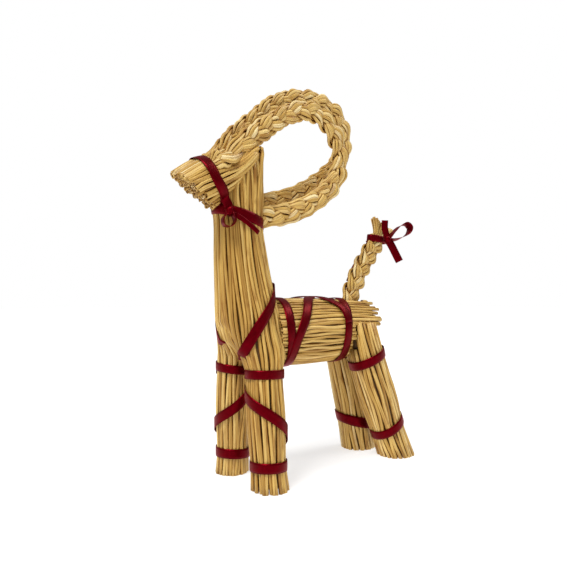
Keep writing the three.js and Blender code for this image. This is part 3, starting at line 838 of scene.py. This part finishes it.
def plait_straws(sheaf, plait, start, end, radius=1.25, spread=None, cut=None):
    """Lays the straws of a plait's three strands. `spread` may move them, as in a tuft, and `cut`
    says how far along its course each one is cut."""
    for which in range(3):
        for across, out in STRAND_STRAWS:
            wide = across * STRAND_HALF_WIDTH * plait.width * 0.92 + chance.uniform(-0.2, 0.2)
            high = out * STRAND_HALF_THICKNESS * plait.thickness * 0.8
            twist = wander(0.35, plait.turns)
            first = start + chance.uniform(-0.003, 0.003)
            last = end + chance.uniform(-0.003, 0.003)

            def course(share, which=which, wide=wide, high=high, twist=twist, first=first, last=last):
                along = last + (first - last) * share
                place = plait.strand(along, which, wide + twist(share), high)
                return spread(place, along, which, wide, high) if spread else place

            stop = cut(course) if cut else 1.0
            thick = radius * chance.uniform(0.8, 1.18)
            tone = chance.uniform(0.4, 1.0)
            sheaf.lay(part_of(course, 0.0, stop), thick, PLAIT_SIDE, tone, STRAW_FLATNESS)


FOREHEAD_START, FOREHEAD_RATE = 0.725, 0.0143
FOREHEAD_LIFT, RING_SINK = 4.0, 1.6
FOREHEAD_REACH = 18.5
NEAR_SIDE, FAR_SIDE = math.radians(45), math.radians(107)


class Horn(Plait):
    """A plait whose first stretch is bedded on the side of the forehead."""

    def point(self, along, across, out, ahead=0.0):
        free = super().point(along, across, out, ahead)
        near = self.places[0].x > 0
        lifted_off = smoothstep(along, 0.03, 0.13) if near else smoothstep(along, 0.0, 0.07)
        if lifted_off == 1.0:
            return free
        along_head = FOREHEAD_START - (along * self.length + ahead) * FOREHEAD_RATE
        lift = FOREHEAD_LIFT * smoothstep(along, 0.0, 0.03) - RING_SINK
        if near:
            bedded = head.surface(along_head, NEAR_SIDE + across / FOREHEAD_REACH, lift + out)
        else:
            bedded = head.surface(along_head, FAR_SIDE - across / FOREHEAD_REACH, lift - out)
        return bedded.lerp(free, lifted_off)


horns = {
    "left": Horn(HORN_SPREAD, [
        (-98, 227), (-86, 234), (-71, 245), (-56, 257), (-38, 268.5), (-21, 274.5), (-8, 274),
        (2, 268), (10, 258), (13.6, 246), (12, 233.5), (5, 221.5), (-8, 210), (-24, 200.5),
        (-40, 194.5), (-60, 190),
    ]),
    "right": Horn(-HORN_SPREAD, [
        (-94, 230), (-83, 239.5), (-71, 251.5), (-57, 264.5), (-41, 278), (-24, 287.5), (-6, 292),
        (13, 291.5), (28, 284), (35.5, 268), (31, 250), (19, 236), (7, 227), (-6, 219), (-21, 212),
        (-37, 206.5), (-60, 201.5),
    ]),
}
HORN_SECTIONS = 190
PLAIT_STRAW_SIDES = 6


def at_the_muzzle(course):
    return along_to_plane(course, MUZZLE_PLACE, MUZZLE_FACING, chance.uniform(-1.5, 1.5))


for side, plait in horns.items():
    sheaf = Sheaf(HORN_SECTIONS, PLAIT_STRAW_SIDES)
    plait_straws(sheaf, plait, -0.1, 1.03, cut=at_the_muzzle)
    sheaf.finish(f"{side}_horn_straws", [f"{side}_horn_plait"])

# --- Tail ---------------------------------------------------------------------------------------
# A short plait of the same kind. It is pushed in among the body's upper straws, and above its
# ribbon the straws are cut and stand apart as a tuft.
tail = Plait(
    0.0, [(30.5, 125), (35.5, 138), (46, 157), (59.5, 175), (68.5, 187), (75, 200)],
    width=16.5, thickness=9.0, period=39.0,
)
TAIL_SECTIONS = 70
TUFT_FROM, TUFT_TO = 0.72, 0.84
TUFT_OPENS, TUFT_OPEN = 0.8, 1.02
LOCK_SIDES = (-1.0, 0.15, 1.0)
LOCK_SPACING, LOCK_SPREAD = 2.8, 9.0


def tuft(place, along, which, wide, high):
    """Straightens a strand into one of the tuft's three locks, above the ribbon."""
    share = smoothstep(along, TUFT_FROM, TUFT_TO)
    opened = smoothstep(along, TUFT_OPENS, TUFT_OPEN)
    across = LOCK_SIDES[which] * (LOCK_SPACING + LOCK_SPREAD * opened) + wide * (0.5 + 0.45 * opened)
    target = tail.point(along, across, high * (0.8 + 0.9 * opened))
    return place.lerp(target, share)


sheaf = Sheaf(TAIL_SECTIONS, PLAIT_STRAW_SIDES)
plait_straws(sheaf, tail, 0.0, 0.955, radius=1.35, spread=tuft)
sheaf.finish("tail_straws", ["tail_plait"])

# --- Ribbons ------------------------------------------------------------------------------------
# Satin ribbon about seven millimetres wide, woven of fine filament with a firm edge. It is wound
# tight round the bundles by hand, and each length ends in a knot or is tucked in.
RIBBON_WIDTH = 7.2
SQUEEZED_WIDTH = 6.3
RIBBON_THICKNESS = 0.35
RIBBON_LIFT = 0.5
RIBBON_CROWN = 0.12
BAND_STEPS = 40
satin = bpy.data.materials.new("satin")
satin.use_nodes = True
tree = satin.node_tree
shader = tree.nodes["Principled BSDF"]
weave_map = tree.nodes.new("ShaderNodeUVMap")
weave_map.uv_map = "ribbon"
weave = tree.nodes.new("ShaderNodeTexWave")
weave.bands_direction = "Y"
weave.inputs["Scale"].default_value = 1.2
weave.inputs["Distortion"].default_value = 0.6
# Painted sheen: slow noise makes patches of the satin's red base colour a little lighter.
painted_sheen_patches = tree.nodes.new("ShaderNodeTexNoise")
painted_sheen_patches.inputs["Scale"].default_value = 0.35
satin_red_and_painted_sheen = ramp(tree, [(0.3, (0.09, 0.0, 0.002)), (0.7, (0.13, 0.0, 0.003))])
bump = tree.nodes.new("ShaderNodeBump")
bump.inputs["Strength"].default_value = 0.15
bump.inputs["Distance"].default_value = 0.0001
link(
    tree,
    (weave_map.outputs["UV"], weave.inputs["Vector"]),
    (weave_map.outputs["UV"], painted_sheen_patches.inputs["Vector"]),
    (painted_sheen_patches.outputs["Fac"], satin_red_and_painted_sheen.inputs["Fac"]),
    (satin_red_and_painted_sheen.outputs["Color"], shader.inputs["Base Color"]),
    (weave.outputs["Fac"], bump.inputs["Height"]),
    (bump.outputs["Normal"], shader.inputs["Normal"]),
)
shader.inputs["Metallic"].default_value = 0.5
shader.inputs["Roughness"].default_value = 0.34
shader.inputs["Specular IOR Level"].default_value = 0.4
shader.inputs["Specular Tint"].default_value = (1.0, 0.06, 0.12, 1.0)


def ribbon_strip(track, steps, width=RIBBON_WIDTH, closed=False, lift=RIBBON_LIFT):
    """A flat strip of ribbon along a track, which gives the place at a share of its length and
    how far it is lifted."""
    strip = bmesh.new()
    bmesh.ops.create_grid(strip, x_segments=steps, y_segments=4, size=0.5, calc_uvs=True)
    wrap = strip.loops.layers.uv.verify()
    small = 1e-3
    length = 0.0
    previous = track(0.0, 0.0)
    for index in range(1, BAND_STEPS + 1):
        place = track(index / BAND_STEPS, 0.0)
        length += (place - previous).length
        previous = place
    for face in strip.faces:
        face.smooth = True
        for corner in face.loops:
            corner[wrap].uv = ((corner.vert.co.x + 0.5) * length, corner.vert.co.y * width)
    for vert in strip.verts:
        share, across = vert.co.x + 0.5, vert.co.y
        middle = track(share, 0.0)
        outward = (track(share, 1.0) - middle).normalized()
        travel = (track(share + small, 0.0) - track(share - small, 0.0)).normalized()
        sideways = outward.cross(travel).normalized()
        crown = RIBBON_CROWN * (1 - (2 * across) ** 2)
        vert.co = middle + sideways * (across * width) + outward * (lift + crown)
    if closed:
        bmesh.ops.remove_doubles(strip, verts=strip.verts, dist=0.05)
    return strip


def finish_ribbon(name, nodes, strips):
    """Joins strips into one ribbon piece, gives it its thickness and puts it in its place."""
    mesh = bpy.data.meshes.new(name)
    whole = bmesh.new()
    for strip in strips:
        part = bpy.data.meshes.new("strip")
        strip.to_mesh(part)
        strip.free()
        whole.from_mesh(part)
        bpy.data.meshes.remove(part)
    bmesh.ops.transform(whole, matrix=TO_FRAME, verts=whole.verts)
    whole.to_mesh(mesh)
    whole.free()
    mesh.uv_layers[0].name = "ribbon"
    piece = bpy.data.objects.new(name, mesh)
    bpy.context.scene.collection.objects.link(piece)
    thicken = piece.modifiers.new("thickness", "SOLIDIFY")
    thicken.thickness = RIBBON_THICKNESS * 0.001
    thicken.offset = 0.0
    mesh.materials.append(satin)
    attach(piece, "root")
    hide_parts(*nodes)


def band(bundle, height, lean, width):
    """A band round a bundle at a height, higher towards +X and +Y by `lean`."""
    def track(share, lift):
        angle = 2 * math.pi * share
        rise = lean[0] * math.cos(angle) + lean[1] * math.sin(angle)
        return bundle.surface(bundle.along_at(2, height + rise), angle, lift)

    return ribbon_strip(track, BAND_STEPS, width, closed=True)


def winding(bundle, axis, turns, extra=0.0, mirrored=False):
    """A track round a bundle through (degrees, place on the bundle's axis)."""
    knots = [Vector((180 - degrees if mirrored else degrees, place)) for degrees, place in turns]

    def track(share, lift):
        degrees, place = spline(knots, share, even=False)
        return bundle.surface(bundle.along_at(axis, place), math.radians(degrees), lift + extra)

    return track


def free_track(route, across):
    """A track for a free length of ribbon, whose width lies along `across`."""
    places = [Vector(place) for place in route]
    side = Vector(across).normalized()

    def track(share, lift):
        place = spline(places, share, even=False)
        ahead = spline(places, min(share + 0.02, 1.0), even=False)
        behind = spline(places, max(share - 0.02, 0.0), even=False)
        return place + (ahead - behind).cross(side).normalized() * lift

    return track


# Head: a ring round the head and a band round the neck, knotted together at the throat.
NECK_BAND_Z = 191.4
KNOT_SIZE = 3.2
KNOT_PLACE = neck.surface(neck.along_at(2, 191.5), math.radians(-46), KNOT_SIZE)
KNOT_OUT = Vector((0.73, -0.68, 0.0))
KNOT_SIDE = Vector((0.68, 0.73, 0.0))
KNOT_LOOP = [
    (-0.5, -1.0, 0.5), (-4.5, -5.0, 2.0), (-3.6, -9.6, 2.6), (0.6, -10.6, 2.6), (3.6, -7.4, 2.2),
    (1.2, -1.4, 1.0),
]
LOOSE_END = [(-42, 190), (-14, 183.5), (11, 177.5)]
RING_ALONG = 0.78


def head_ring(share, lift):
    """The ring leans back under the head, towards the throat, and on its right side."""
    angle = 2 * math.pi * share
    below = smoothstep(-math.sin(angle), -0.2, 1.0)
    right = max(-math.cos(angle), 0.0)
    return head.surface(RING_ALONG - 0.09 * below - 0.06 * right, angle, lift)


def by_the_knot(across, up, out=0.0):
    return KNOT_PLACE + KNOT_SIDE * across + Vector((0.0, 0.0, up)) + KNOT_OUT * out


head_to_knot = [
    head_ring(0.9, 0.2),
    head_ring(0.865, 0.9),
    by_the_knot(-1.0, 3.0, -0.6),
    by_the_knot(0.0, -1.0, -0.8),
]


def knot(place, out, side, size, turn):
    """The tight turn of ribbon over a knot: a short, plump ring round the crossing."""
    tilt = Matrix.Rotation(turn, 3, out)
    along, up = tilt @ side, tilt @ Vector((0.0, 0.0, 1.0))

    def track(share, lift):
        angle = 2 * math.pi * share
        reach = size + lift
        return place + up * (reach * math.cos(angle)) + out * (0.75 * reach * math.sin(angle))

    strip = ribbon_strip(track, 20, width=1.7 * size, closed=True, lift=0.0)
    for vert in strip.verts:
        off = (vert.co - place).dot(along)
        pinch = 1 - 0.09 * (off / size) ** 2
        vert.co = place + along * off + (vert.co - place - along * off) * pinch
    return strip


finish_ribbon("head_ribbon_satin", ["head_ribbon"], [
    ribbon_strip(head_ring, 48, closed=True),
    band(neck, NECK_BAND_Z, (-3.7, -5.0), RIBBON_WIDTH),
    ribbon_strip(free_track(head_to_knot, (0.42, 0.56, 0.6)), 14, width=6.0, lift=0.0),
    knot(KNOT_PLACE, KNOT_OUT, KNOT_SIDE, KNOT_SIZE, 0.5),
    ribbon_strip(
        free_track([by_the_knot(*place) for place in KNOT_LOOP], KNOT_OUT * 0.75 + KNOT_SIDE * 0.5),
        28, width=6.0, lift=0.0,
    ),
    ribbon_strip(winding(neck, 2, LOOSE_END, 1.3), 14, width=3.4),
])

# Chest: a strap over each shoulder, from the fork of the legs up to the back of the neck. At the
# fork its end dives in among the straws.
SHOULDERS = {
    "left": [(-55.5, 87.8), (-44, 94), (-14, 114), (15, 127), (50, 137.5), (95, 141)],
    "right": [(-77, 96), (-69, 101.5), (-53, 110.5), (-14, 121), (15, 128.5), (50, 137.5), (95, 141)],
}
DIVE_FROM = {"left": 45, "right": 69}
DIVE_OVER, DIVE_DEPTH = 8, 8.0
SHOULDER_LIFT = {"left": 0.0, "right": -0.9}
STRAP_WIDTH = 7.5


def reach_of(bundle, start, angle):
    """How far a bundle of level sections reaches from a place inside it, in a direction."""
    along = bundle.along_at(2, start.z)
    if along > 0.999:
        return 0.0
    station = spline(bundle.stations, along)
    direction = Vector((math.cos(angle) / station[3], math.sin(angle) / station[4]))
    offset = Vector(((start.x - station[0]) / station[3], (start.y - station[1]) / station[4]))
    a, b = direction.length_squared, direction.dot(offset)
    inside = b * b - a * (offset.length_squared - 1)
    return (math.sqrt(inside) - b) / a if inside > 0 else 0.0


def shoulder_track(side):
    knots = [Vector(turn) for turn in SHOULDERS[side]]
    leg = front_legs[side]
    dive = DIVE_FROM[side]

    def track(share, lift):
        degrees, height = spline(knots, share, even=False)
        angle = math.radians(degrees if side == "left" else 180 - degrees)
        middle = neck.point(neck.along_at(2, height))
        reach = max(reach_of(neck, middle, angle), reach_of(leg, middle, angle)) + lift
        reach += SHOULDER_LIFT[side] - DIVE_DEPTH * smoothstep(-degrees, dive, dive + DIVE_OVER)
        return middle + Vector((reach * math.cos(angle), reach * math.sin(angle), 0.0))

    return track


finish_ribbon("chest_ribbon_satin", ["chest_ribbon"], [
    ribbon_strip(shoulder_track(side), 48, STRAP_WIDTH) for side in SHOULDERS
])

# Front legs: a band at the top, a strap that winds down round the leg, and a band near the foot.
FRONT_BANDS = {
    "left": [(79.4, (0.7, -0.5), SQUEEZED_WIDTH), (17.1, (0.8, -0.5), RIBBON_WIDTH)],
    "right": [(80.6, (-1.2, -1.2), SQUEEZED_WIDTH), (16.2, (0.2, -0.9), RIBBON_WIDTH)],
}
FRONT_WINDINGS = {
    "left": [(-215, 79.5), (-153, 71), (-34, 55.5), (56, 38.5), (150, 21), (180, 17.5)],
    "right": [(220, 79), (150, 73), (25, 63), (-34, 51), (-124, 36.5), (-215, 23), (-250, 17.5)],
}
for side, leg in front_legs.items():
    finish_ribbon(f"front_{side}_leg_satin", [f"front_{side}_leg_ribbon"], [
        *(band(leg, *place) for place in FRONT_BANDS[side]),
        ribbon_strip(winding(leg, 2, FRONT_WINDINGS[side], 0.45), 72),
    ])

# Hind legs: two bands each. The lower one on the right is wound twice, so it is wider.
DOUBLED_WIDTH = 8.8
HIND_BANDS = {
    "left": [(84, (1.5, 2.0), RIBBON_WIDTH), (26.5, (1.5, 2.5), RIBBON_WIDTH)],
    "right": [(86, (1.0, 0.0), RIBBON_WIDTH), (26.3, (-2.0, -7.0), DOUBLED_WIDTH)],
}
for side, leg in hind_legs.items():
    for place, (height, lean, width) in zip(("upper", "lower"), HIND_BANDS[side]):
        strip = band(leg, height, lean, width)
        finish_ribbon(f"hind_{side}_{place}_satin", [f"rear_{side}_{place}_ribbon"], [strip])

# Body: a band at each end, and two straps between them that cross over the back.
BODY_BANDS = [(-43.7, -2, -3.2), (11.5, 2.3, -3.1)]
CROSSING = [
    (-85, -38.7), (-55, -41.2), (-30, -42.2), (-7, -40.7), (33.5, -30), (67, -19.3), (90, -9),
    (113, 0.5), (136, 8), (165, 9.5),
]


def body_band(middle, lean, bow):
    """The track of a band round the body, moved back by `lean` at its top, `bow` at its sides."""
    def track(share, lift):
        angle = 2 * math.pi * share
        y = middle + lean * math.sin(angle) + bow * math.cos(2 * angle)
        return body.surface(body.along_at(1, y), angle, lift)

    return track


finish_ribbon("body_ribbon_satin", ["body_ribbon"], [
    *(ribbon_strip(body_band(*place), 56, closed=True) for place in BODY_BANDS),
    ribbon_strip(winding(body, 1, CROSSING, 0.2), 48),
    ribbon_strip(winding(body, 1, CROSSING, 0.6, mirrored=True), 48),
])

# Tail: a band tied in a bow with one loop and loose ends.
TAIL_BAND_ALONG = 0.775


def tail_band(share, lift):
    angle = 2 * math.pi * share
    across = (0.5 * tail.width + lift) * math.cos(angle)
    along = TAIL_BAND_ALONG - 0.6 * across / tail.length
    return tail.point(along, across, (0.55 * tail.thickness + lift) * math.sin(angle))


BOW_PLACE = Vector((9.6, 69.5, 182.5))
BOW_SIDEWAYS = Vector((0.6, 0.8, 0.0))


def by_the_bow(across, up):
    return BOW_PLACE + BOW_SIDEWAYS * across + Vector((0.0, 0.0, up))


BOW_LOOP = [
    (0, 0), (5, 6.5), (10.5, 11.5), (16, 13), (19, 10), (17.5, 5.5), (12, 1.5), (5, -0.5), (0, -0.5),
]
BOW_ENDS = [
    ([(0, 0), (-1.5, 5), (-2.6, 10), (-2.4, 16.5)], (0.6, 0.8, 0.05), 5.5),
    ([(0, 0), (3.5, -6), (6.5, -12), (10, -19)], (0.52, 0.7, 0.5), 6.6),
]
BOW_SIZE = 2.7
STUB = [(5.5, 66.0, 183.2), (2.5, 58.5, 182.5), (1.0, 52.5, 179.0)]
HIDDEN_END = [(-6.5, 66, 184.5), (-7, 57.5, 171), (-7.5, 46.5, 158), (-6.5, 39, 146)]
bow_loop = free_track([by_the_bow(*place) for place in BOW_LOOP], (0.9, 0.05, 0.3))
tail_strips = [
    ribbon_strip(tail_band, 36, width=6.0, closed=True),
    ribbon_strip(bow_loop, 44, width=6.8, lift=0.0),
]
for route, across, width in BOW_ENDS:
    loose_end = free_track([by_the_bow(*place) for place in route], across)
    tail_strips.append(ribbon_strip(loose_end, 16, width, lift=0.0))
tail_strips += [
    knot(BOW_PLACE, Vector((0.8, -0.6, 0.0)), BOW_SIDEWAYS, BOW_SIZE, -0.3),
    ribbon_strip(free_track(STUB, (0.2, 0.3, 0.9)), 8, width=4.0, lift=0.0),
    ribbon_strip(free_track(HIDDEN_END, (0.6, 0.8, -0.1)), 14, width=5.0, lift=0.0),
]
finish_ribbon("tail_ribbon_satin", ["tail_ribbon"], tail_strips)
